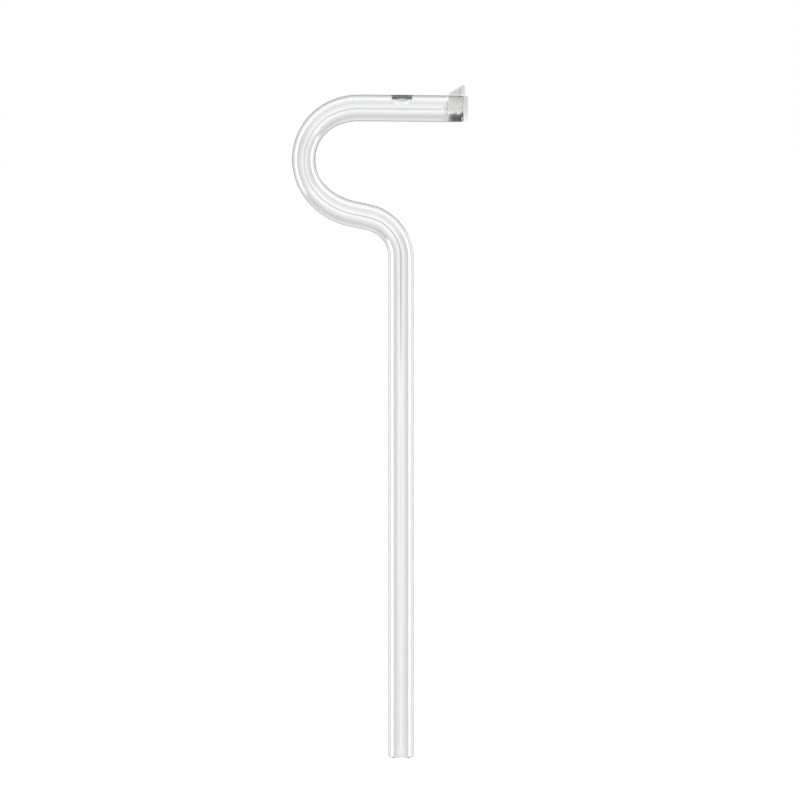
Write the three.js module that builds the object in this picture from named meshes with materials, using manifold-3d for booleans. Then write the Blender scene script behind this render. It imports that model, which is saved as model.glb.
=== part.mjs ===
// A side-sip glass drinking straw: one length of heavy-walled tube, pierced near its far end and
// bent into an S, and the pull-out silicone stopper that closes the end of its short arm.
//
// Millimetres and degrees. +Z is up and the bends lie in the XZ plane. The stem climbs +Z, leans
// back to -X, and the arm returns towards +X. The origin is level with the stem's lower rim, under
// the middle of the whole outline.
import * as THREE from "three";
import { mergeVertices } from "three/addons/utils/BufferGeometryUtils.js";
import Module from "manifold-3d";

// Tube section
const TUBE_DIAMETER = 8.0;
const BORE_DIAMETER = 4.8;
const RIM_FLAT = 0.4; // width of the flat ring left between the rim's two melted edges
const RIM_HEIGHT = 1.0; // length of tube that the melted edges take up
const AROUND = 32; // facets round the tube
const RIM_STEPS = 4; // facets across each melted edge
const SOCKET_DIAMETER = 5.5; // the bore opens out at the arm's end, where the stopper sits
const SOCKET_DEPTH = 4.8;
const SOCKET_TAPER = 1.8; // length over which it narrows back to the plain bore

// Centreline, from the stem's rim to the arm's open end
const STEM_LENGTH = 151.1; // brings the top of the tube to a height of 200
const NECK = { radius: 12.3, turn: 77.5 }; // leans the tube back, towards -X
const SLANT_LENGTH = 5.6;
const CROOK = [ // brings it round to +X, tightest in the middle
  { radius: 19.6, turn: -33.5 },
  { radius: 15.3, turn: -110 },
  { radius: 18.4, turn: -24.5 },
];
const ARM_LENGTH = 31.3;
const BEND_STEP = 7; // degrees of bend between two rings of vertices
const NECK_FLATTENING = 0.05; // share of its width that the tube loses, in the plane of the bend,
const CROOK_FLATTENING = 0.12; // half-way round each bend

// Sip hole, through the upper wall of the arm
const HOLE_LENGTH = 7.4;
const HOLE_WIDTH = 3.6;
const HOLE_FROM_END = 18.5; // the hole's centre to the arm's open end
const HOLE_TURN = 25; // degrees that it sits round from the very top, towards -Y
const HOLE_CUT_START = 0.6; // how far from the tube's axis the cut begins, well inside the bore
const HOLE_POINTS = 32;

// Stopper, in the frame of the arm's open end: X runs out of the mouth and Z is up
const SHANK_CLEARANCE = 0.1; // radial, to the socket
const SHANK_LENGTH = 4.6;
const NOSE_DIAMETER = 4.2;
const NOSE_LENGTH = 1.4; // how far it reaches past the shank, into the plain bore
const NOSE_TIP = 0.5; // length of its rounded tip
const HEAD_GAP = 0.1;
const HEAD_DIAMETER = 7.9;
const HEAD_THICKNESS = 1.35;
const HEAD_EDGE = 0.5; // radius that rounds the edge of its outer face
const EDGE_STEPS = 4;
const NOSE_STEPS = 6;
const TAB_WIDTH = 4.2;
const WEB_WIDTH = 1.4; // the web that props the tab from behind
const TAB_FACE = 0.5; // X of its outer face
const TAB_TIP = 7.0; // heights above the tube's axis: the tip,
const TAB_UNDERSIDE = 4.2; // the underside, which clears the top of the tube,
const TAB_ROOT = 3.0; // and the root inside the head
const TAB_THICKNESS = 1.3;
const TAB_TIP_ROUND = 0.5;
const WEB_REACH = 4.6; // how far the web runs back over the tube
const WEB_BOW = { x: -2.9, z: 5.8 }; // the point that its sloping edge bows towards
const WEB_END_HEIGHT = 0.3;
const TAB_CURVE_STEPS = 5;

const TUBE_RADIUS = TUBE_DIAMETER / 2;
const BORE_RADIUS = BORE_DIAMETER / 2;
const SOCKET_RADIUS = SOCKET_DIAMETER / 2;

const wasm = await Module();
wasm.setup();

// ---- solids ----

function toSolid(geometry) {
  geometry.deleteAttribute("normal");
  geometry.deleteAttribute("uv");
  const merged = mergeVertices(geometry);
  return new wasm.Manifold(new wasm.Mesh({
    numProp: 3,
    vertProperties: new Float32Array(merged.attributes.position.array),
    triVerts: new Uint32Array(merged.index.array),
  }));
}

function toGeometry(solid) {
  const { vertProperties, triVerts } = solid.getMesh();
  const geometry = new THREE.BufferGeometry();
  geometry.setAttribute("position", new THREE.BufferAttribute(vertProperties, 3));
  geometry.setIndex(new THREE.BufferAttribute(triVerts, 1));
  geometry.computeVertexNormals();
  return geometry;
}

// Part of an ellipse as profile points (X the radius, Y along the tube), between two angles.
function ellipseArc(centreR, centreS, radiusR, radiusS, from, to, steps) {
  const points = [];
  for (let i = 0; i <= steps; i++) {
    const angle = THREE.MathUtils.degToRad(from + (to - from) * i / steps);
    points.push(new THREE.Vector2(
      centreR + radiusR * Math.cos(angle),
      centreS + radiusS * Math.sin(angle),
    ));
  }
  return points;
}

// ---- centreline ----

function bend({ radius, turn }) {
  return { length: radius * THREE.MathUtils.degToRad(Math.abs(turn)), turn };
}

function straight(length) {
  return { length, turn: 0 };
}

const crook = CROOK.map(bend);
const RUNS = [
  straight(STEM_LENGTH),
  bend(NECK),
  straight(SLANT_LENGTH),
  ...crook,
  straight(ARM_LENGTH),
];
const lengthOf = (runs) => runs.reduce((sum, run) => sum + run.length, 0);
const TUBE_LENGTH = lengthOf(RUNS);

// Where the centreline is, and which way it heads, at a distance s along it. The heading is the
// angle from +X towards +Z.
function centrelineAt(s) {
  const point = { x: 0, z: 0, heading: Math.PI / 2 };
  let left = s;
  RUNS.forEach((run, index) => {
    const last = index === RUNS.length - 1;
    const step = last ? left : Math.min(left, run.length);
    const turned = THREE.MathUtils.degToRad(run.turn) * step / run.length;
    const chord = turned === 0 ? step : step * Math.sin(turned / 2) / (turned / 2);
    point.x += chord * Math.cos(point.heading + turned / 2);
    point.z += chord * Math.sin(point.heading + turned / 2);
    point.heading += turned;
    left -= step;
  });
  return point;
}

// The tube's width in the plane of the bend, as a share of its full width: least half-way round.
function widthAt(s) {
  const neckStart = STEM_LENGTH;
  const neckEnd = neckStart + RUNS[1].length;
  const crookStart = neckEnd + SLANT_LENGTH;
  const crookEnd = crookStart + lengthOf(crook);
  const swell = (start, end) => {
    const share = THREE.MathUtils.clamp((s - start) / (end - start), 0, 1);
    return Math.sin(Math.PI * share) ** 2;
  };
  return 1 - NECK_FLATTENING * swell(neckStart, neckEnd)
    - CROOK_FLATTENING * swell(crookStart, crookEnd);
}

// Distances along the centreline at which the wall needs a ring of vertices.
function wallStations() {
  const stations = [RIM_HEIGHT];
  let start = 0;
  for (const run of RUNS) {
    const steps = Math.max(1, Math.ceil(Math.abs(run.turn) / BEND_STEP));
    for (let i = 1; i <= steps; i++) {
      stations.push(start + run.length * i / steps);
    }
    start += run.length;
  }
  stations[stations.length - 1] = TUBE_LENGTH - RIM_HEIGHT;
  return stations;
}

// ---- straw tube ----

// Half-section of the straight tube: X is the radius and Y the distance along the tube.
function tubeProfile() {
  const edge = (TUBE_RADIUS - BORE_RADIUS - RIM_FLAT) / 2;
  const mouthEdge = (TUBE_RADIUS - SOCKET_RADIUS - RIM_FLAT) / 2;
  const top = TUBE_LENGTH - RIM_HEIGHT;
  const socketFloor = TUBE_LENGTH - SOCKET_DEPTH;
  const stations = wallStations().slice(1, -1);
  const profile = [
    ...ellipseArc(TUBE_RADIUS - edge, RIM_HEIGHT, edge, RIM_HEIGHT, -90, 0, RIM_STEPS),
    ...stations.map((s) => new THREE.Vector2(TUBE_RADIUS, s)),
    ...ellipseArc(TUBE_RADIUS - mouthEdge, top, mouthEdge, RIM_HEIGHT, 0, 90, RIM_STEPS),
    ...ellipseArc(SOCKET_RADIUS + mouthEdge, top, mouthEdge, RIM_HEIGHT, 90, 180, RIM_STEPS),
    new THREE.Vector2(SOCKET_RADIUS, socketFloor),
    new THREE.Vector2(BORE_RADIUS, socketFloor - SOCKET_TAPER),
    ...stations.reverse().map((s) => new THREE.Vector2(BORE_RADIUS, s)),
    ...ellipseArc(BORE_RADIUS + edge, RIM_HEIGHT, edge, RIM_HEIGHT, 180, 270, RIM_STEPS),
  ];
  profile.push(profile[0].clone());
  return profile;
}

// An oval cutter on the side of the straight tube that becomes the arm's top.
function holeCutter() {
  const oval = new THREE.Shape();
  oval.absellipse(0, 0, HOLE_LENGTH / 2, HOLE_WIDTH / 2, 0, 2 * Math.PI);
  const cutter = new THREE.ExtrudeGeometry(oval, {
    depth: TUBE_DIAMETER,
    bevelEnabled: false,
    curveSegments: HOLE_POINTS,
  });
  const along = new THREE.Vector3(0, 1, 0);
  const across = new THREE.Vector3(0, 0, 1);
  const outward = new THREE.Vector3(1, 0, 0);
  cutter.applyMatrix4(new THREE.Matrix4().makeBasis(along, across, outward));
  cutter.translate(HOLE_CUT_START, TUBE_LENGTH - HOLE_FROM_END, 0);
  cutter.rotateY(THREE.MathUtils.degToRad(HOLE_TURN));
  return cutter;
}

// Carries each vertex of the straight tube, built along Y, on to the bent centreline.
function bendTube(geometry) {
  const position = geometry.attributes.position;
  for (let i = 0; i < position.count; i++) {
    const inPlane = position.getX(i);
    const s = position.getY(i);
    const sideways = position.getZ(i);
    const { x, z, heading } = centrelineAt(s);
    const offset = inPlane * widthAt(s);
    position.setXYZ(i, x - offset * Math.sin(heading), sideways, z + offset * Math.cos(heading));
  }
  geometry.computeVertexNormals();
  return geometry;
}

function strawTube() {
  const wall = toSolid(new THREE.LatheGeometry(tubeProfile(), AROUND));
  return bendTube(toGeometry(wall.subtract(toSolid(holeCutter()))));
}

// ---- end stopper ----

// Nose, shank and head, as one turned profile whose Y axis runs out of the mouth.
function plugProfile() {
  const noseRadius = NOSE_DIAMETER / 2;
  const shankRadius = SOCKET_RADIUS - SHANK_CLEARANCE;
  const headRadius = HEAD_DIAMETER / 2;
  const tipStart = NOSE_TIP - NOSE_LENGTH - SHANK_LENGTH;
  const face = HEAD_GAP + HEAD_THICKNESS;
  return [
    ...ellipseArc(0, tipStart, noseRadius, NOSE_TIP, -90, 0, NOSE_STEPS),
    new THREE.Vector2(noseRadius, -SHANK_LENGTH),
    new THREE.Vector2(shankRadius, -SHANK_LENGTH),
    new THREE.Vector2(shankRadius, HEAD_GAP),
    new THREE.Vector2(headRadius, HEAD_GAP),
    ...ellipseArc(headRadius - HEAD_EDGE, face - HEAD_EDGE, HEAD_EDGE, HEAD_EDGE, 0, 90, EDGE_STEPS),
    new THREE.Vector2(0, face),
  ];
}

function plugBody() {
  const profile = plugProfile();
  profile[0].x = 0;
  const body = new THREE.LatheGeometry(profile, AROUND);
  body.rotateZ(-Math.PI / 2);
  return body;
}

// A flat shape drawn in X and Z, made as thick as given, with its middle on the bend plane.
function upright(side, width) {
  const slab = new THREE.ExtrudeGeometry(side, {
    depth: width,
    bevelEnabled: false,
    curveSegments: TAB_CURVE_STEPS,
  });
  slab.translate(0, 0, -width / 2);
  slab.rotateX(Math.PI / 2);
  return toSolid(slab);
}

// The pull tab: a tongue that rises from the head.
function pullTab() {
  const side = new THREE.Shape();
  const back = TAB_FACE - TAB_THICKNESS;
  const shoulder = TAB_TIP - TAB_TIP_ROUND;
  side.moveTo(back, TAB_UNDERSIDE);
  side.lineTo(back, shoulder);
  side.quadraticCurveTo(back, TAB_TIP, (back + TAB_FACE) / 2, TAB_TIP);
  side.quadraticCurveTo(TAB_FACE, TAB_TIP, TAB_FACE, shoulder);
  side.lineTo(TAB_FACE, TAB_ROOT);
  side.lineTo(HEAD_GAP, TAB_ROOT);
  side.lineTo(HEAD_GAP, TAB_UNDERSIDE);
  side.closePath();
  return upright(side, TAB_WIDTH);
}

// The web behind the tab, which slopes down over the tube.
function tabWeb() {
  const side = new THREE.Shape();
  const front = TAB_FACE - TAB_THICKNESS / 2;
  side.moveTo(-WEB_REACH, TAB_UNDERSIDE);
  side.lineTo(-WEB_REACH, TAB_UNDERSIDE + WEB_END_HEIGHT);
  side.quadraticCurveTo(WEB_BOW.x, WEB_BOW.z, front, TAB_TIP - TAB_TIP_ROUND / 2);
  side.lineTo(front, TAB_UNDERSIDE);
  side.closePath();
  return upright(side, WEB_WIDTH);
}

function endStopper() {
  return toGeometry(toSolid(plugBody()).add(pullTab()).add(tabWeb()));
}

// ---- assembly ----

const glass = new THREE.MeshStandardMaterial({ color: 0xeef2f2, roughness: 0.03, metalness: 0 });
const silicone = new THREE.MeshStandardMaterial({ color: 0xd6d4d0, roughness: 0.45, metalness: 0 });

function named(name, geometry, material) {
  const mesh = new THREE.Mesh(geometry, material);
  mesh.name = name;
  return mesh;
}

const straw = new THREE.Group();
straw.add(named("straw_tube", strawTube(), glass));

const end = centrelineAt(TUBE_LENGTH);
const mouth = new THREE.Group();
mouth.position.set(end.x, 0, end.z);
mouth.rotation.y = -end.heading;
mouth.add(named("end_stopper", endStopper(), silicone));
straw.add(mouth);

const outline = new THREE.Box3().setFromObject(straw, true);
straw.position.x = -(outline.min.x + outline.max.x) / 2;

export default straw;
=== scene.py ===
"""Looks of a side-sip glass drinking straw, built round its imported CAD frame.

The glass tube is swept again along the frame's own centreline with a fire-polished rim at each end
and a melted lip round the sip hole. The silicone stopper is one moulded body that squeezes into the
socket at the arm's end. Sizes here are millimetres and degrees, apart from a few that say they are
metres; MM turns millimetres into Blender's metres.
"""

import math

import bpy
import numpy as np
from mathutils import Matrix, Vector


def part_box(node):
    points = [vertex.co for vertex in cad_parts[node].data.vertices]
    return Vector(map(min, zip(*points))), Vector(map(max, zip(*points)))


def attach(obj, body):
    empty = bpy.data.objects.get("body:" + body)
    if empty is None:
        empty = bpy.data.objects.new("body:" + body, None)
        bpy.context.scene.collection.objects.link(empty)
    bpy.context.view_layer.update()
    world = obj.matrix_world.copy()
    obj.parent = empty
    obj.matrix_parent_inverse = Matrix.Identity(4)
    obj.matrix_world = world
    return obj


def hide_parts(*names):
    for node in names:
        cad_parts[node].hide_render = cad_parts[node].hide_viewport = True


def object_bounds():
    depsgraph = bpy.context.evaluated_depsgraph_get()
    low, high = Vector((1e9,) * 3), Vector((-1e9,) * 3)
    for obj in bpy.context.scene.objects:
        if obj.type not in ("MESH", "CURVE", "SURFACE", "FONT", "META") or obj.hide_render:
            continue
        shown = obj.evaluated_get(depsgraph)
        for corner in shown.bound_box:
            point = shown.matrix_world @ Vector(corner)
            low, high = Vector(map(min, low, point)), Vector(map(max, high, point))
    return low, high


MM = 0.001

# Tube, as the CAD has it
WALL = 1.6
RIM_FLAT = 0.4
RIM_HEIGHT = 1.0
SOCKET_RADIUS = 2.75  # the bore opens out at the arm's end, for the stopper
SOCKET_DEPTH = 4.8
SOCKET_TAPER = 1.8
NECK = (12.3, 77.5)  # bend radius and turn
SLANT = 5.6
CROOK = ((19.6, -33.5), (15.3, -110.0), (18.4, -24.5))
ARM = 31.3
NECK_FLATTENING = 0.05
CROOK_FLATTENING = 0.12

# Tube mesh
AROUND = 96
BEND_STEP = 1.5  # degrees of bend between rings
STEM_STEP = 3.0
ARM_STEP = 0.4
MOUTH_STEP = 0.15  # between the sip hole and the arm's end
RIM_STEPS = 12
CENTRELINE_SAMPLES = 2000  # for finding its highest point

# Sip hole: its throat, half-way through the wall, and how far the melted lip opens out
HOLE_FROM_END = 18.5
HOLE_TURN = -25.0  # degrees round from the top of the arm, less than 0 towards -Y
THROAT_HALF_LENGTH = 2.55
THROAT_HALF_WIDTH = 1.24
LIP_SPREAD = 1.45  # size of the opening at both surfaces, as a multiple of the throat
LIP_RISE = 0.05  # how proud of the tube the melted lip stands
LIP_STEPS = 18
PATCH_RINGS = 13  # rings to either side of the hole that its own patch of mesh takes up
PATCH_SECTORS = 18  # and sectors of the tube to either side
PATCH_STEPS = 8  # steps from the patch's border to the lip

# Stopper, in the frame of the arm's open end: X out of the mouth, Z up
SHANK_LENGTH = 4.6
SHANK_SQUEEZE = 0.02  # how far the soft shank presses past the socket
NOSE_RADIUS = 2.1
NOSE_LENGTH = 1.4
NOSE_TIP = 0.5
HEAD_RADIUS = 3.95
HEAD_GAP = 0.04
HEAD_THICKNESS = 1.35
HEAD_EDGE = 0.8
TAB_HALF_WIDTH = 2.1
TAB_FACE = 0.5
TAB_THICKNESS = 1.3
TAB_TIP = 7.0
TAB_TIP_ROUND = 1.2  # how far below the tip its rounding starts
TAB_TIP_THICKNESS = 0.45  # share of its thickness left where it ends,
TAB_TIP_WIDTH = 0.4  # and of its width
TAB_ROOT = 3.0
TAB_UNDERSIDE = 4.2
WEB_HALF_WIDTH = 0.7
WEB_SLOPE = ((-4.6, 4.5), (-2.9, 5.8), (-0.15, 7.0))  # (X, Z) where it starts, bows towards and ends
PLUG_SIDES = 72
TAB_SIDES = 40
VOXEL = 0.07
SMOOTHING = 8

# Camera, lined up with the photo by comparing the two outlines
VIEW_WIDTH = 1.1893  # width of the picture, as a multiple of the object's height
AIM_HEIGHT = 0.5332  # height of the picture's centre, as a share of the object's height
AIM_SIDEWAYS = 0.1125  # and its place right of the object's centre, as a share of its width
ELEVATION = 3.0
DISTANCE = 1.6  # metres
SENSOR = 36.0
FLOOR_HALF = 20.0  # metres

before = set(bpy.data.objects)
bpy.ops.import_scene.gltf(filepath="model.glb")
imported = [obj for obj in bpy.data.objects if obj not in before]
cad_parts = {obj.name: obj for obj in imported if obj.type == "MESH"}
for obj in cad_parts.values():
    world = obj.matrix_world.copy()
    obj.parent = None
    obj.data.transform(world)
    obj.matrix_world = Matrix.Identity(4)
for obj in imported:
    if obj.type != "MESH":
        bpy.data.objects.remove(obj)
cad_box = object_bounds()
tube_low, tube_high = (np.array(corner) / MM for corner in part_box("straw_tube"))
TUBE_RADIUS = (tube_high[1] - tube_low[1]) / 2
BORE_RADIUS = TUBE_RADIUS - WALL


# ---- centreline ----

def bend_length(radius, turn):
    return radius * math.radians(abs(turn))


def runs_of(stem_length):
    """The centreline from the stem's rim to the arm's end, as runs of (length, turn)."""
    bends = [(bend_length(*arc), arc[1]) for arc in CROOK]
    return [(stem_length, 0), (bend_length(*NECK), NECK[1]), (SLANT, 0), *bends, (ARM, 0)]


def centreline_at(s, runs):
    """Where the centreline is at a distance s along it, and its heading from +X towards +Z."""
    x, z, heading = 0.0, 0.0, math.pi / 2
    for index, (length, turn) in enumerate(runs):
        step = s if index == len(runs) - 1 else min(s, length)
        turned = math.radians(turn) * step / length
        chord = step * math.sin(turned / 2) / (turned / 2) if turned else step
        x += chord * math.cos(heading + turned / 2)
        z += chord * math.sin(heading + turned / 2)
        heading += turned
        s -= step
    return x, z, heading


def bends_rise():
    """Height of the centreline's highest point above the top of the stem."""
    runs = runs_of(1.0)
    total = sum(length for length, _ in runs)
    return max(centreline_at(s, runs)[1] for s in np.linspace(0, total, CENTRELINE_SAMPLES)) - 1.0


RUNS = runs_of(tube_high[2] - TUBE_RADIUS - bends_rise())
TUBE_LENGTH = sum(length for length, _ in RUNS)
HOLE_AT = TUBE_LENGTH - HOLE_FROM_END


def bore_at(s):
    """The bore's radius, which widens into the stopper's socket near the arm's end."""
    into = (s - (TUBE_LENGTH - SOCKET_DEPTH - SOCKET_TAPER)) / SOCKET_TAPER
    into = min(max(into, 0.0), 1.0)
    return BORE_RADIUS + (SOCKET_RADIUS - BORE_RADIUS) * into * into * (3 - 2 * into)


def width_at(s):
    """The tube's width in the plane of its bends, as a share of its full width."""
    starts = np.cumsum([0.0] + [length for length, _ in RUNS])
    share = 1.0
    for start, end, flattening in (
        (starts[1], starts[2], NECK_FLATTENING),
        (starts[3], starts[6], CROOK_FLATTENING),
    ):
        part = min(max((s - start) / (end - start), 0.0), 1.0)
        share -= flattening * math.sin(math.pi * part) ** 2
    return share


# ---- mesh helpers ----

def make_object(name, vertices, faces):
    mesh = bpy.data.meshes.new(name)
    mesh.from_pydata([tuple(v) for v in vertices], [], faces)
    mesh.validate()
    mesh.shade_smooth()
    obj = bpy.data.objects.new(name, mesh)
    bpy.context.scene.collection.objects.link(obj)
    return obj


def ellipse_arc(centre_r, centre_s, radius_r, radius_s, start, end, steps):
    """Part of an ellipse as (radius, distance along) points, between two angles."""
    angles = np.radians(np.linspace(start, end, steps + 1))
    return [(centre_r + radius_r * math.cos(a), centre_s + radius_s * math.sin(a)) for a in angles]


# ---- glass tube ----

class TubeMesh:
    """Collects the tube's vertices by (radius, angle, distance along) and its faces."""

    def __init__(self):
        self.straight = []
        self.faces = []

    def add(self, radius, angle, s):
        """A vertex, by its angle from the middle of the sip hole. Returns its index."""
        turn = angle + math.radians(HOLE_TURN)
        self.straight.append((radius * math.cos(turn), radius * math.sin(turn), s))
        return len(self.straight) - 1

    def bridge(self, loop_a, loop_b):
        """Faces between two closed loops of the same count."""
        count = len(loop_a)
        for i in range(count):
            j = (i + 1) % count
            self.faces.append((loop_a[i], loop_a[j], loop_b[j], loop_b[i]))

    def bent(self):
        """The vertices carried on to the bent centreline."""
        placed = []
        for in_plane, sideways, s in self.straight:
            x, z, heading = centreline_at(s, RUNS)
            offset = in_plane * width_at(s)
            placed.append((x - offset * math.sin(heading), sideways, z + offset * math.cos(heading)))
        return np.array(placed)


def wall_stations():
    """Distances along the tube of the rings between its two rims."""
    top = TUBE_LENGTH - RIM_HEIGHT
    half_patch = PATCH_RINGS * ARM_STEP
    stations = [RIM_HEIGHT]
    start = 0.0
    for index, (length, turn) in enumerate(RUNS):
        end = start + length
        if turn:
            steps = math.ceil(abs(turn) / BEND_STEP)
            stations += list(np.linspace(start, end, steps + 1))[1:]
        elif index < len(RUNS) - 1:
            stations += list(np.linspace(max(start, RIM_HEIGHT), end, math.ceil(length / STEM_STEP) + 1))[1:]
        start = end
    arm_start = stations[-1]
    before = HOLE_AT - half_patch
    after = HOLE_AT + half_patch
    stations += list(np.linspace(arm_start, before, math.ceil((before - arm_start) / ARM_STEP) + 1))[1:]
    stations += list(np.linspace(before, after, 2 * PATCH_RINGS + 1))[1:]
    stations += list(np.linspace(after, top, math.ceil((top - after) / MOUTH_STEP) + 1))[1:]
    return stations


def build_tube():
    """The tube's object, and how far along X its centreline was moved to meet the frame's box."""
    tube = TubeMesh()
    angles = [2 * math.pi * j / AROUND for j in range(AROUND)]
    stations = wall_stations()
    patch_middle = int(np.argmin([abs(s - HOLE_AT) for s in stations]))
    patch = range(patch_middle - PATCH_RINGS, patch_middle + PATCH_RINGS + 1)

    def sector_of(j):
        """A sector's number, counted both ways from the middle of the sip hole."""
        return (j + AROUND // 2) % AROUND - AROUND // 2

    def wall(radius_at):
        """Rings of vertices, with None inside the sip hole's patch."""
        rings = []
        for i, s in enumerate(stations):
            ring = []
            for j, angle in enumerate(angles):
                in_patch = patch[0] < i < patch[-1] and abs(sector_of(j)) < PATCH_SECTORS
                ring.append(None if in_patch else tube.add(radius_at(s), angle, s))
            rings.append(ring)
        return rings

    def skin(rings, flip):
        """Faces between the rings, apart from the sip hole's patch."""
        for i in range(len(rings) - 1):
            for j in range(AROUND):
                if patch[0] <= i < patch[-1] and -PATCH_SECTORS <= sector_of(j) < PATCH_SECTORS:
                    continue
                k = (j + 1) % AROUND
                quad = (rings[i][j], rings[i][k], rings[i + 1][k], rings[i + 1][j])
                tube.faces.append(quad[::-1] if flip else quad)

    outer = wall(lambda s: TUBE_RADIUS)
    inner = wall(bore_at)
    skin(outer, flip=True)
    skin(inner, flip=False)
    add_rims(tube, angles, outer, inner)
    add_hole(tube, angles, stations, patch, outer, inner)

    vertices = tube.bent()
    moved = tube_high[0] - vertices[:, 0].max()
    vertices[:, 0] += moved
    obj = make_object("glass_tube", vertices * MM, tube.faces)
    along = obj.data.attributes.new("along_tube", "FLOAT_VECTOR", "POINT")
    along.data.foreach_set("vector", np.array(tube.straight, np.float32).ravel())
    return obj, moved


def rim_profile(bore):
    """A rim with two melted edges, as (radius, height above its foot), from outside to bore."""
    edge = (TUBE_RADIUS - bore - RIM_FLAT) / 2
    outside = ellipse_arc(TUBE_RADIUS - edge, 0, edge, RIM_HEIGHT, 0, 90, RIM_STEPS)
    return outside + ellipse_arc(bore + edge, 0, edge, RIM_HEIGHT, 90, 180, RIM_STEPS)


def add_rims(tube, angles, outer, inner):
    """Joins the outer and inner walls at both ends."""
    far = [(radius, TUBE_LENGTH - RIM_HEIGHT + up) for radius, up in rim_profile(SOCKET_RADIUS)]
    near = [(radius, RIM_HEIGHT - up) for radius, up in rim_profile(BORE_RADIUS)]
    ends = ((far, outer[-1], inner[-1], False), (near, outer[0], inner[0], True))
    for profile, first, last, at_stem in ends:
        loops = [first]
        for radius, s in profile[1:-1]:
            loops.append([tube.add(radius, a, s) for a in angles])
        loops.append(last)
        for a, b in zip(loops, loops[1:]):
            if at_stem:
                tube.bridge(a, b)
            else:
                tube.bridge(b, a)


def add_hole(tube, angles, stations, patch, outer, inner):
    """Fills the patch round the sip hole: both surfaces run in to a melted lip."""
    i0, i1 = patch[0], patch[-1]
    sectors = range(-PATCH_SECTORS, PATCH_SECTORS)
    rows = range(i0, i1)
    border = [(i0, j) for j in sectors]
    border += [(i, PATCH_SECTORS) for i in rows]
    border += [(i1, -j) for j in sectors]
    border += [(i0 + i1 - i, -PATCH_SECTORS) for i in rows]
    half_angle = math.asin(THROAT_HALF_WIDTH / (TUBE_RADIUS - WALL / 2))

    flat = []
    for i, j in border:
        s = stations[i] - HOLE_AT
        angle = 2 * math.pi * j / AROUND
        clock = math.atan2(angle / half_angle, s / THROAT_HALF_LENGTH)
        flat.append((s, angle, THROAT_HALF_LENGTH * math.cos(clock), THROAT_HALF_WIDTH * math.sin(clock)))

    def surface_loops(radius, rise, rings):
        loops = [[rings[i][j % AROUND] for i, j in border]]
        for step in range(1, PATCH_STEPS + 1):
            t = step / PATCH_STEPS
            loop = []
            for s, angle, throat_s, across in flat:
                near_s = s + (throat_s * LIP_SPREAD - s) * t
                near_angle = angle + (math.asin(across * LIP_SPREAD / radius) - angle) * t
                loop.append(tube.add(radius + rise * t ** 3, near_angle, HOLE_AT + near_s))
            loops.append(loop)
        return loops

    outside = surface_loops(TUBE_RADIUS, LIP_RISE, outer)
    inside = surface_loops(BORE_RADIUS, 0, inner)
    lip = []
    for step in range(1, LIP_STEPS):
        turn = math.pi * step / LIP_STEPS
        outward = (1 + math.cos(turn)) / 2
        radius = BORE_RADIUS + (WALL + LIP_RISE) * outward
        spread = 1 + (LIP_SPREAD - 1) * (1 - math.sin(turn))
        loop = []
        for _, _, throat_s, across in flat:
            loop.append(tube.add(radius, math.asin(across * spread / radius), HOLE_AT + throat_s * spread))
        lip.append(loop)
    loops = outside + lip + inside[::-1]
    for a, b in zip(loops, loops[1:]):
        tube.bridge(b, a)


glass_tube, stem_x = build_tube()


# ---- silicone stopper ----

def plug_rings():
    """Nose, shank and head as (x, radius) rings, from the nose's tip to the middle of the face."""
    shank = SOCKET_RADIUS + SHANK_SQUEEZE
    tip = NOSE_TIP - NOSE_LENGTH - SHANK_LENGTH
    face = HEAD_GAP + HEAD_THICKNESS
    nose = ellipse_arc(0, tip, NOSE_RADIUS, NOSE_TIP, -90, 0, 10)
    nose_run = [(NOSE_RADIUS, -SHANK_LENGTH)]
    shank_run = [(shank, x) for x in np.linspace(-SHANK_LENGTH, HEAD_GAP, 12)]
    rim = [(HEAD_RADIUS, HEAD_GAP)]
    edge = ellipse_arc(HEAD_RADIUS - HEAD_EDGE, face - HEAD_EDGE, HEAD_EDGE, HEAD_EDGE, 0, 90, 8)
    return [(x, max(radius, 0.0)) for radius, x in nose + nose_run + shank_run + rim + edge + [(0, face)]]


def plug_body():
    """The rings turned about the arm's axis, and closed at both tips."""
    sides = PLUG_SIDES
    rings = plug_rings()
    vertices = []
    for x, radius in rings[1:-1]:
        for k in range(sides):
            turn = 2 * math.pi * k / sides
            vertices.append((x, radius * math.cos(turn), radius * math.sin(turn)))
    nose = len(vertices)
    vertices += [(rings[0][0], 0, 0), (rings[-1][0], 0, 0)]
    faces = []
    count = len(rings) - 2
    for i in range(count - 1):
        for k in range(sides):
            n = (k + 1) % sides
            faces.append((i * sides + k, i * sides + n, (i + 1) * sides + n, (i + 1) * sides + k))
    last = (count - 1) * sides
    for k in range(sides):
        n = (k + 1) % sides
        faces.append((nose, n, k))
        faces.append((nose + 1, last + k, last + n))
    return vertices, faces


def stacked(slices, place):
    """A closed body through rounded oblongs given as (along, middle, half height, half width)."""
    sides = TAB_SIDES
    vertices = []
    for along, middle, half_height, half_width in slices:
        for k in range(sides):
            turn = 2 * math.pi * k / sides
            c, s = math.cos(turn), math.sin(turn)
            across = middle + half_height * math.copysign(abs(c) ** 0.5, c)
            y = half_width * math.copysign(abs(s) ** 0.5, s)
            vertices.append(place(along, across, y))
    faces = [tuple(range(sides))[::-1]]
    for i in range(len(slices) - 1):
        for k in range(sides):
            n = (k + 1) % sides
            faces.append((i * sides + k, i * sides + n, (i + 1) * sides + n, (i + 1) * sides + k))
    last = (len(slices) - 1) * sides
    faces.append(tuple(last + k for k in range(sides)))
    return vertices, faces


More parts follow.
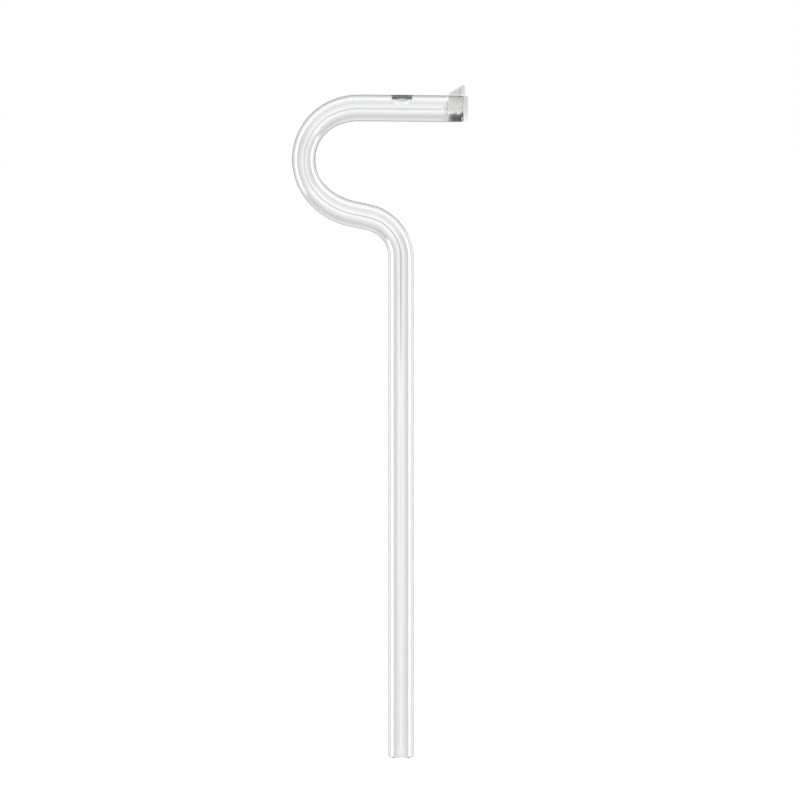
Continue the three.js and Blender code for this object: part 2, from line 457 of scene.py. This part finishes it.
def pull_tab():
    """The tongue: upright slices with a rounded tip, and a root inside the head."""
    middle = TAB_FACE - TAB_THICKNESS / 2
    root = (HEAD_GAP + TAB_FACE) / 2
    root_half = (TAB_FACE - HEAD_GAP) / 2
    slices = [(z, root, root_half, TAB_HALF_WIDTH) for z in (TAB_ROOT, TAB_UNDERSIDE - 0.05)]
    for z in np.linspace(TAB_UNDERSIDE, TAB_TIP, 28):
        past = max(0.0, z - TAB_TIP + TAB_TIP_ROUND) / TAB_TIP_ROUND
        left = math.sqrt(max(1 - past ** 2, 0.01))
        thickness = TAB_THICKNESS * (TAB_TIP_THICKNESS + (1 - TAB_TIP_THICKNESS) * left)
        half_width = TAB_HALF_WIDTH * (TAB_TIP_WIDTH + (1 - TAB_TIP_WIDTH) * left)
        slices.append((z, middle, thickness / 2, half_width))
    return stacked(slices, lambda z, x, y: (x, y, z))


def tab_web():
    """The web behind the tongue: slices along the tube under a bowed slope."""
    slices = []
    for u in np.linspace(0, 1, 24):
        weights = ((1 - u) ** 2, 2 * u * (1 - u), u ** 2)
        x, top = (sum(w * point[axis] for w, point in zip(weights, WEB_SLOPE)) for axis in (0, 1))
        half = (top - TAB_UNDERSIDE) / 2
        slices.append((x, TAB_UNDERSIDE + half, half, WEB_HALF_WIDTH))
    return stacked(slices, lambda x, z, y: (x, -y, z))


def mouth_frame():
    """Matrix of the arm's open end: X out of the mouth, Z up, in millimetres."""
    x, z, heading = centreline_at(TUBE_LENGTH, RUNS)
    out = (math.cos(heading), 0, math.sin(heading))
    up = (-math.sin(heading), 0, math.cos(heading))
    matrix = Matrix((out, (0, 1, 0), up)).transposed().to_4x4()
    matrix.translation = Vector((x + stem_x, 0, z))
    return matrix


def apply_modifiers(obj):
    depsgraph = bpy.context.evaluated_depsgraph_get()
    mesh = bpy.data.meshes.new_from_object(obj.evaluated_get(depsgraph))
    obj.modifiers.clear()
    obj.data = mesh


def build_stopper():
    vertices, faces = [], []
    for more_vertices, more_faces in (plug_body(), pull_tab(), tab_web()):
        offset = len(vertices)
        vertices += more_vertices
        faces += [tuple(v + offset for v in face) for face in more_faces]
    obj = make_object("silicone_stopper", vertices, faces)
    remesh = obj.modifiers.new("mould", "REMESH")
    remesh.mode = "VOXEL"
    remesh.voxel_size = VOXEL
    smooth = obj.modifiers.new("soften", "SMOOTH")
    smooth.factor = 0.5
    smooth.iterations = SMOOTHING
    apply_modifiers(obj)
    obj.data.transform(Matrix.Scale(MM, 4) @ mouth_frame())
    obj.data.shade_smooth()
    return obj


stopper = build_stopper()


# ---- materials ----

class Nodes:
    """Short calls for building a node tree."""

    def __init__(self, tree):
        self.tree = tree
        tree.nodes.clear()

    def add(self, kind, inputs=None, **settings):
        node = self.tree.nodes.new(kind)
        for key, value in settings.items():
            setattr(node, key, value)
        for key, value in (inputs or {}).items():
            self.feed(node.inputs[key], value)
        return node

    def feed(self, socket, value):
        if isinstance(value, bpy.types.NodeSocket):
            self.tree.links.new(value, socket)
        else:
            socket.default_value = value

    def math(self, operation, a, b=0.0):
        return self.add("ShaderNodeMath", {0: a, 1: b}, operation=operation).outputs[0]

    def ramp(self, value, low, high, start=0.0, end=1.0):
        """A smooth step from start to end as the value goes from low to high."""
        limits = {"From Min": low, "From Max": high, "To Min": start, "To Max": end}
        node = self.add("ShaderNodeMapRange", {"Value": value, **limits}, interpolation_type="SMOOTHSTEP")
        return node.outputs["Result"]

    def blend(self, share, a, b):
        """A colour between two others."""
        node = self.add("ShaderNodeMix", {"Factor": share, "A": a, "B": b}, data_type="RGBA")
        return node.outputs["Result"]

    def noise(self, place, scale, detail):
        inputs = {"Vector": place, "Scale": scale, "Detail": detail}
        return self.add("ShaderNodeTexNoise", inputs).outputs["Fac"]


def new_material(name):
    material = bpy.data.materials.new(name)
    material.use_nodes = True
    return material, Nodes(material.node_tree)


GLASS_TINTS = ((0.988, 0.99, 0.99, 1), (0.97, 0.974, 0.973, 1))
# Painted shade: the glass's colour goes dark where its outside is seen edge-on, at its outline.
PAINTED_OUTLINE_SHADE = (0.06, 0.06, 0.06, 1)
PAINTED_OUTLINE_FACING = (0.36, 0.8)  # how edge-on the glass is where its outline starts, and where it is darkest
PAINTED_OUTLINE_SKIN = (0.4, 0.2)  # depths in the wall between which the outline's tint ends
MOST_REFLECTIONS = 4  # inside the glass, before a ray is let straight out
SPENT_LOSS = 0.85  # share of its light that such a ray loses at each surface


def glass_material():
    """Clear drawn tubing: faint draw lines along it, the haze of handling and painted shade that darkens
    its outline. Soft light falls straight through it on to the silicone inside, and so does a ray that is
    spent."""
    material, nodes = new_material("borosilicate_glass")
    place = nodes.add("ShaderNodeAttribute", attribute_name="along_tube").outputs["Vector"]
    stretched = nodes.add("ShaderNodeMapping", {"Vector": place, "Scale": (1.0, 1.0, 0.03)}).outputs[0]
    lines = nodes.noise(stretched, 1.6, 3.0)
    haze = nodes.noise(place, 0.18, 4.0)
    tint = nodes.blend(haze, *GLASS_TINTS)
    bump = nodes.add("ShaderNodeBump", {"Height": lines, "Strength": 0.05, "Distance": 0.02 * MM})
    shader = nodes.add("ShaderNodeBsdfPrincipled", {
        # painted shade: the glass's colour goes dark at the tube's outline
        "Base Color": nodes.blend(painted_outline_mask(nodes, place), tint, PAINTED_OUTLINE_SHADE),
        "Roughness": nodes.ramp(haze, 0.45, 0.75, 0.0, 0.03),
        "IOR": 1.47,
        "Transmission Weight": 1.0,
        "Normal": bump.outputs["Normal"],
    })
    path = nodes.add("ShaderNodeLightPath").outputs
    soft = nodes.math("MAXIMUM", path["Is Shadow Ray"], path["Is Diffuse Ray"])
    spent = nodes.math("GREATER_THAN", path["Glossy Depth"], MOST_REFLECTIONS - 0.5)
    dimming = nodes.math("SUBTRACT", 1.0, nodes.math("MULTIPLY", spent, SPENT_LOSS))
    clear = nodes.add("ShaderNodeBsdfTransparent", {"Color": dimming})
    passed = nodes.math("MAXIMUM", soft, spent)
    surface = nodes.add("ShaderNodeMixShader", {0: passed, 1: shader.outputs[0], 2: clear.outputs[0]})
    nodes.add("ShaderNodeOutputMaterial", {"Surface": surface.outputs[0]})
    return material


def painted_outline_mask(nodes, place):
    """How grazing the view of the tube's outside is, from 0 to 1: the mask of the painted shade that darkens
    the glass's colour at its outline.
    """
    from_axis = nodes.add("ShaderNodeVectorMath", {0: place, 1: (1, 1, 0)}, operation="MULTIPLY").outputs[0]
    radius = nodes.add("ShaderNodeVectorMath", {0: from_axis}, operation="LENGTH").outputs["Value"]
    outside = nodes.ramp(radius, *(TUBE_RADIUS - depth for depth in PAINTED_OUTLINE_SKIN))
    facing = nodes.add("ShaderNodeLayerWeight", {"Blend": 0.5}).outputs["Facing"]
    return nodes.math("MULTIPLY", outside, nodes.ramp(facing, *PAINTED_OUTLINE_FACING))


SILICONE_TINTS = ((0.53, 0.529, 0.526, 1), (0.62, 0.619, 0.615, 1))

# Painted shade low on the shank, a dark tint in the silicone's colour: places along it are from the arm's
# open end, less than 0 inside
PAINTED_SHADE_TINT = (0.06, 0.06, 0.06, 1)
PAINTED_SHADE_DEPTH = (0.9, 2.2)  # depths below the axis where it starts, and where it is darkest
PAINTED_SHADE_RISE = 0.6  # how much higher it starts near the mouth,
PAINTED_SHADE_RISE_ALONG = (-1.6, -0.9)  # and where along the shank it climbs
PAINTED_SHADE_END = (-0.1, 0.05)  # where it ends at the mouth
PAINTED_SHADE_FADE = (-5.0, -3.0)  # where it fades towards the nose,
PAINTED_SHADE_AT_NOSE = 0.5  # and how much of it is left there
PAINTED_SHADE_WAVER = 2.4  # how far its edge wanders


def silicone_material():
    """Translucent moulded silicone: a fine matt skin, slight cloudiness, and painted shade, a dark tint
    low on the shank where it presses against the glass."""
    material, nodes = new_material("translucent_silicone")
    place = nodes.add("ShaderNodeTexCoord").outputs["Object"]
    cloud = nodes.noise(place, 700.0, 3.0)
    grain = nodes.noise(place, 9000.0, 2.0)
    tint = nodes.blend(cloud, *SILICONE_TINTS)
    bump = nodes.add("ShaderNodeBump", {"Height": grain, "Strength": 0.15, "Distance": 0.02 * MM})
    shader = nodes.add("ShaderNodeBsdfPrincipled", {
        # painted shade: the silicone's colour goes dark low on the shank inside the glass
        "Base Color": nodes.blend(painted_shank_shade(nodes, place, cloud), tint, PAINTED_SHADE_TINT),
        "Roughness": nodes.ramp(grain, 0.3, 0.7, 0.38, 0.5),
        "IOR": 1.41,
        "Subsurface Weight": 1.0,
        "Subsurface Scale": 0.8 * MM,
        "Subsurface Radius": (1.0, 0.95, 0.9),
        "Normal": bump.outputs["Normal"],
    })
    nodes.add("ShaderNodeOutputMaterial", {"Surface": shader.outputs["BSDF"]})
    return material


def painted_shank_shade(nodes, place, cloud):
    """How far a point is into the painted shade low on the shank, from 0 to 1. It starts higher at the
    mouth.
    """
    x, z, _ = centreline_at(TUBE_LENGTH, RUNS)
    parts = nodes.add("ShaderNodeSeparateXYZ", {0: place})
    out_of_mouth = nodes.math("SUBTRACT", parts.outputs["X"], (x + stem_x) * MM)
    above_axis = nodes.math("SUBTRACT", parts.outputs["Z"], z * MM)
    waver = nodes.math("MULTIPLY", nodes.math("SUBTRACT", cloud, 0.5), PAINTED_SHADE_WAVER * MM)
    above_axis = nodes.math("ADD", above_axis, waver)

    def along(span, start, end):
        return nodes.ramp(out_of_mouth, span[0] * MM, span[1] * MM, start, end)

    depth = nodes.math("SUBTRACT", along(PAINTED_SHADE_RISE_ALONG, 0.0, PAINTED_SHADE_RISE * MM), above_axis)
    low = nodes.ramp(depth, PAINTED_SHADE_DEPTH[0] * MM, PAINTED_SHADE_DEPTH[1] * MM)
    outer = along(PAINTED_SHADE_END, 1.0, 0.0)
    inner = along(PAINTED_SHADE_FADE, PAINTED_SHADE_AT_NOSE, 1.0)
    return nodes.math("MULTIPLY", nodes.math("MULTIPLY", low, outer), inner)


glass_tube.data.materials.append(glass_material())
stopper.data.materials.clear()
stopper.data.materials.append(silicone_material())

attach(glass_tube, "tube")
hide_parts("straw_tube")
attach(stopper, "stopper")
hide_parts("end_stopper")


# ---- stage ----

# The light tent, as (degrees from straight ahead of the camera, brightness): a pale backdrop ahead, a
# grey gap round it, then bright cards. 180 is behind the camera, which stands in a dark slot. The
# small steps near 0 stand for no real card: they are tuned to the brightness across the arm and the
# stem in the photo, and so are the strengths of the cards.
LIGHT_ABOVE = (
    (0, 0.82), (1, 0.66), (2.4, 0.70), (3.6, 1.06), (5, 1.0), (8, 0.82), (11, 0.83), (15, 0.76), (20, 0.74),
    (28, 0.9), (34, 1.05), (68, 1.05), (72, 0.4), (84, 0.4), (92, 1.35), (168, 1.35), (173, 0.1), (180, 0.0),
)
LIGHT_BELOW = (
    (0, 0.82), (2.6, 0.95), (5, 0.86), (9, 0.79), (15, 0.72), (42, 0.68), (68, 0.62), (72, 0.15),
    (84, 0.15), (94, 0.8), (110, 1.2), (168, 1.2), (173, 0.1), (180, 0.0),
)
LIGHT_BESIDE = (
    (0, 1.05), (4, 1.0), (8, 0.88), (14, 0.76), (22, 0.69), (36, 0.63), (43, 1.5), (66, 1.5), (76, 0.9),
    (84, 0.35), (168, 0.35), (180, 0.2),
)
BRIGHTEST = 1.5
SIDE_CARDS = (25.0, 38.0)  # degrees from level at which the cards beside give way to those above


def light_along(nodes, from_ahead, stops):
    """Brightness by the angle from straight ahead."""
    node = nodes.add("ShaderNodeValToRGB", {"Fac": nodes.math("DIVIDE", from_ahead, 180.0)})
    elements = node.color_ramp.elements
    for index, (angle, brightness) in enumerate(stops):
        element = elements[index] if index < 2 else elements.new(angle / 180.0)
        element.position = angle / 180.0
        element.color = (*[brightness / BRIGHTEST] * 3, 1)
    return node.outputs["Color"]


def studio_light():
    """A light tent that turns with the camera: white to the camera itself, cards to the glass."""
    world = bpy.data.worlds.new("studio")
    bpy.context.scene.world = world
    world.use_nodes = True
    nodes = Nodes(world.node_tree)
    seen = nodes.add("ShaderNodeTexCoord").outputs["Camera"]
    seen = nodes.add("ShaderNodeVectorMath", {0: seen}, operation="NORMALIZE").outputs["Vector"]
    parts = nodes.add("ShaderNodeSeparateXYZ", {0: seen})
    from_ahead = nodes.math("DEGREES", nodes.math("ARCCOSINE", parts.outputs["Z"]))
    sideways = nodes.math("ABSOLUTE", parts.outputs["X"])
    from_level = nodes.math("DEGREES", nodes.math("ARCTAN2", parts.outputs["Y"], sideways))
    low, high = SIDE_CARDS
    light = light_along(nodes, from_ahead, LIGHT_BESIDE)
    for stops, start, end in ((LIGHT_ABOVE, low, high), (LIGHT_BELOW, -low, -high)):
        share = nodes.ramp(from_level, start, end)
        light = nodes.blend(share, light, light_along(nodes, from_ahead, stops))
    light = nodes.add("ShaderNodeVectorMath", {0: light, "Scale": BRIGHTEST}, operation="SCALE").outputs[0]
    for_camera = nodes.add("ShaderNodeLightPath").outputs["Is Camera Ray"]
    shown = nodes.blend(for_camera, light, (1, 1, 1, 1))
    background = nodes.add("ShaderNodeBackground", {"Color": shown, "Strength": 1.0})
    nodes.add("ShaderNodeOutputWorld", {"Surface": background.outputs[0]})


def white_floor():
    """A wide white sweep under the straw, bright enough to lose its own shadows."""
    mesh = bpy.data.meshes.new("floor")
    corners = [(x * FLOOR_HALF, y * FLOOR_HALF, 0) for x, y in ((-1, -1), (1, -1), (1, 1), (-1, 1))]
    mesh.from_pydata(corners, [], [(0, 1, 2, 3)])
    floor = bpy.data.objects.new("floor", mesh)
    bpy.context.scene.collection.objects.link(floor)
    floor.visible_transmission = False
    floor.visible_glossy = False
    material, nodes = new_material("white_sweep")
    shader = nodes.add("ShaderNodeBsdfPrincipled", {
        "Base Color": (0.9, 0.9, 0.9, 1),
        "Roughness": 0.9,
        "Emission Color": (1, 1, 1, 1),
        "Emission Strength": 0.75,
    })
    nodes.add("ShaderNodeOutputMaterial", {"Surface": shader.outputs["BSDF"]})
    mesh.materials.append(material)


def place_camera():
    low, high = (Vector(corner) for corner in cad_box)
    size = high - low
    aim = Vector(((low.x + high.x) / 2 + AIM_SIDEWAYS * size.x, 0, AIM_HEIGHT * size.z))
    rise = math.radians(ELEVATION)
    data = bpy.data.cameras.new("camera")
    data.sensor_width = SENSOR
    data.lens = SENSOR * DISTANCE / (VIEW_WIDTH * size.z)
    camera = bpy.data.objects.new("camera", data)
    bpy.context.scene.collection.objects.link(camera)
    camera.location = aim + DISTANCE * Vector((0, -math.cos(rise), math.sin(rise)))
    camera.rotation_euler = (aim - camera.location).to_track_quat("-Z", "Y").to_euler()
    bpy.context.scene.camera = camera


studio_light()
white_floor()
place_camera()
bpy.context.scene.view_settings.view_transform = "Standard"
